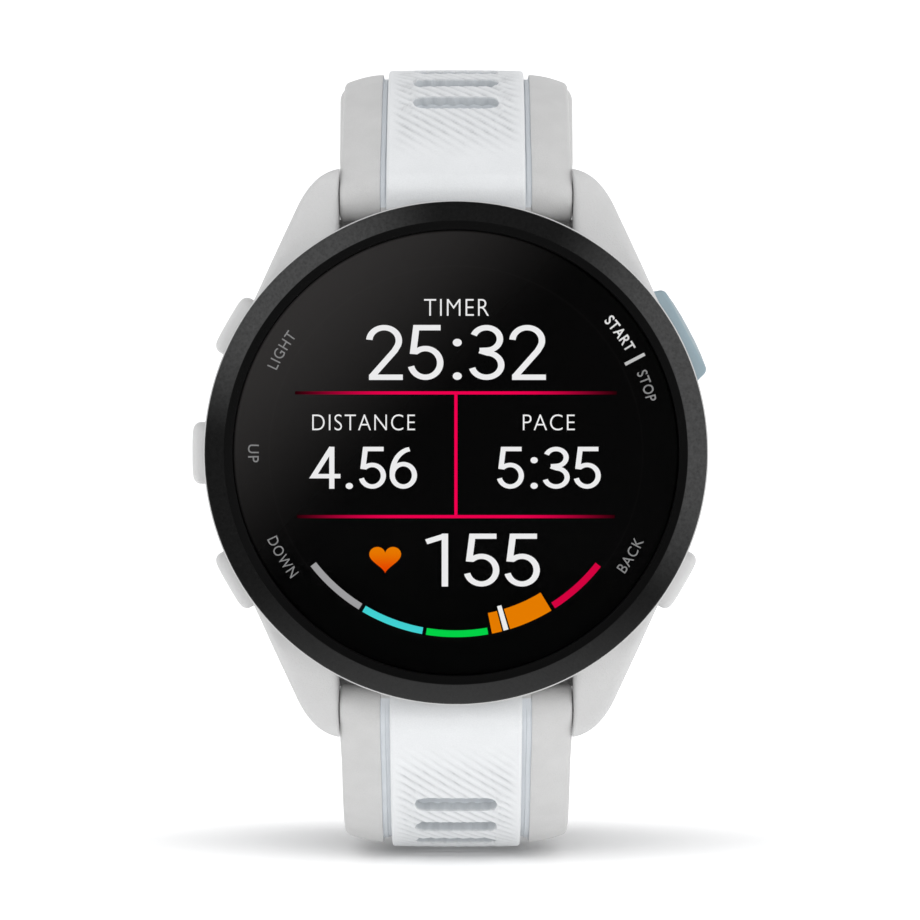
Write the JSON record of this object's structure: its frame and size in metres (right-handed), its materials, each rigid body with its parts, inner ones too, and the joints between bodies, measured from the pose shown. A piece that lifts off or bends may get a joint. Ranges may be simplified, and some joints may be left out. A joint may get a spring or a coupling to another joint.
{
  "type": "gps running watch",
  "caption": "Round sports watch with a dark bezel ring, side buttons, a back sensor window, and an open slotted silicone strap on quick-release spring bars with a buckle.",
  "frame": {"origin": "centre of the flat crown of the sensor window on the case back, where the watch rests on the wrist", "axes": "+Y points from the case into the wrist, so the display faces -Y; +Z points to 12 o'clock; +X points to 3 o'clock"},
  "size_m": [0.0446, 0.0812, 0.0713],
  "materials": {
    "case_polymer": "fine grained fibre-reinforced polymer, light warm gray",
    "bezel_metal": "dark anodised ring, fine leather-like grain with a smooth inner chamfer",
    "lens_glass": "chemically strengthened, glossy",
    "gasket": "matte",
    "display": "black active-matrix panel",
    "frame_plastic": "moulded",
    "flex": "polyimide film",
    "board": "solder mask",
    "shield_metal": "tin-plated",
    "chip": "moulded package",
    "antenna": "plated trace",
    "battery_foil": "laminate foil",
    "foam": "closed-cell foam",
    "screw_steel": "passivated",
    "buzzer_brass": "satin",
    "switch_plastic": "moulded",
    "cover_plastic": "fine texture",
    "sensor_glass": "dark, polished",
    "board_black": "black solder mask",
    "led": "clear encapsulant",
    "barrier_black": "light-blocking",
    "contact_gold": "gold-plated",
    "button_gray": "satin, light gray",
    "button_blue": "satin, blue-gray",
    "stem_steel": "ground",
    "seal_rubber": "lubricated",
    "strap_silicone": "matte light gray silicone",
    "inlay_silicone": "matte white silicone with diagonal ridges",
    "bar_steel": "ground",
    "buckle_steel": "fine brushed"
  },
  "bodies": {
    "case": {"mid_case": "case_polymer", "bezel": "bezel_metal", "lens": "lens_glass", "lens_gasket": "gasket", "display_panel": "display", "display_frame": "frame_plastic", "display_flex": "flex", "main_board": "board", "shield_cans": "shield_metal", "board_chips": "chip", "gps_antenna": "antenna", "barometer": "shield_metal", "battery": "battery_foil", "battery_pad": "foam", "chassis": "frame_plastic", "chassis_screws": "screw_steel", "vibration_motor": "shield_metal", "buzzer": "buzzer_brass", "button_switches": "switch_plastic", "case_gasket": "gasket", "back_cover": "cover_plastic", "back_screws": "screw_steel", "sensor_window": "sensor_glass", "sensor_board": "board_black", "sensor_leds": "led", "sensor_barrier": "barrier_black", "charge_insert": "cover_plastic", "charge_contacts": "contact_gold"},
    "button_light": {"cap_light": "button_gray", "stem_light": "stem_steel", "seal_light": "seal_rubber"},
    "button_up": {"cap_up": "button_gray", "stem_up": "stem_steel", "seal_up": "seal_rubber"},
    "button_down": {"cap_down": "button_gray", "stem_down": "stem_steel", "seal_down": "seal_rubber"},
    "button_back": {"cap_back": "button_gray", "stem_back": "stem_steel", "seal_back": "seal_rubber"},
    "button_start": {"cap_start": "button_blue", "stem_start": "stem_steel", "seal_start": "seal_rubber"},
    "upper_half": {"strap_upper": "strap_silicone", "inlay_upper": "inlay_silicone", "bar_upper": "bar_steel", "keeper_fixed": "strap_silicone"},
    "upper_release": {"release_upper": "bar_steel"},
    "lower_half": {"strap_lower": "strap_silicone", "inlay_lower": "inlay_silicone", "bar_lower": "bar_steel"},
    "lower_release": {"release_lower": "bar_steel"},
    "buckle": {"buckle_frame": "buckle_steel", "buckle_bar": "bar_steel"},
    "tongue_body": {"tongue": "buckle_steel"},
    "keeper": {"keeper_sliding": "strap_silicone"}
  },
  "joints": [
    {"name": "light_press", "type": "slide", "parent": "case", "child": "button_light", "axis": [0.866, 0, -0.5], "range_m": [0, 0.0005], "stiffness_N_per_m": 1500, "springref_m": -0.0003},
    {"name": "up_press", "type": "slide", "parent": "case", "child": "button_up", "axis": [1, 0, 0], "range_m": [0, 0.0005], "stiffness_N_per_m": 1500, "springref_m": -0.0003},
    {"name": "down_press", "type": "slide", "parent": "case", "child": "button_down", "axis": [0.866, 0, 0.5], "range_m": [0, 0.0005], "stiffness_N_per_m": 1500, "springref_m": -0.0003},
    {"name": "back_press", "type": "slide", "parent": "case", "child": "button_back", "axis": [-0.866, 0, 0.5], "range_m": [0, 0.0005], "stiffness_N_per_m": 1500, "springref_m": -0.0003},
    {"name": "start_press", "type": "slide", "parent": "case", "child": "button_start", "axis": [-0.8788, 0, -0.4772], "range_m": [0, 0.0005], "stiffness_N_per_m": 1500, "springref_m": -0.0003},
    {"name": "upper_strap_hinge", "type": "hinge", "parent": "case", "child": "upper_half", "pos_m": [0, -0.0042, 0.0226], "axis": [1, 0, 0], "range_deg": [-3, 60]},
    {"name": "lower_strap_hinge", "type": "hinge", "parent": "case", "child": "lower_half", "pos_m": [0, -0.0042, -0.0226], "axis": [-1, 0, 0], "range_deg": [-3, 60]},
    {"name": "upper_release_slide", "type": "slide", "parent": "upper_half", "child": "upper_release", "axis": [-1, 0, 0], "range_m": [0, 0.0012], "stiffness_N_per_m": 300, "springref_m": -0.0006},
    {"name": "lower_release_slide", "type": "slide", "parent": "lower_half", "child": "lower_release", "axis": [-1, 0, 0], "range_m": [0, 0.0012], "stiffness_N_per_m": 300, "springref_m": -0.0006},
    {"name": "buckle_hinge", "type": "hinge", "parent": "upper_half", "child": "buckle", "pos_m": [0, 0.05467, 0.02044], "axis": [1, 0, 0], "range_deg": [-35, 35]},
    {"name": "tongue_hinge", "type": "hinge", "parent": "buckle", "child": "tongue_body", "pos_m": [0, 0.05467, 0.02044], "axis": [1, 0, 0], "range_deg": [0, 80]},
    {"name": "keeper_slide", "type": "hinge", "parent": "upper_half", "child": "keeper", "pos_m": [0, 0.03005, -0.00302], "axis": [-1, 0, 0], "range_deg": [-3.6, 3.3]}
  ]
}
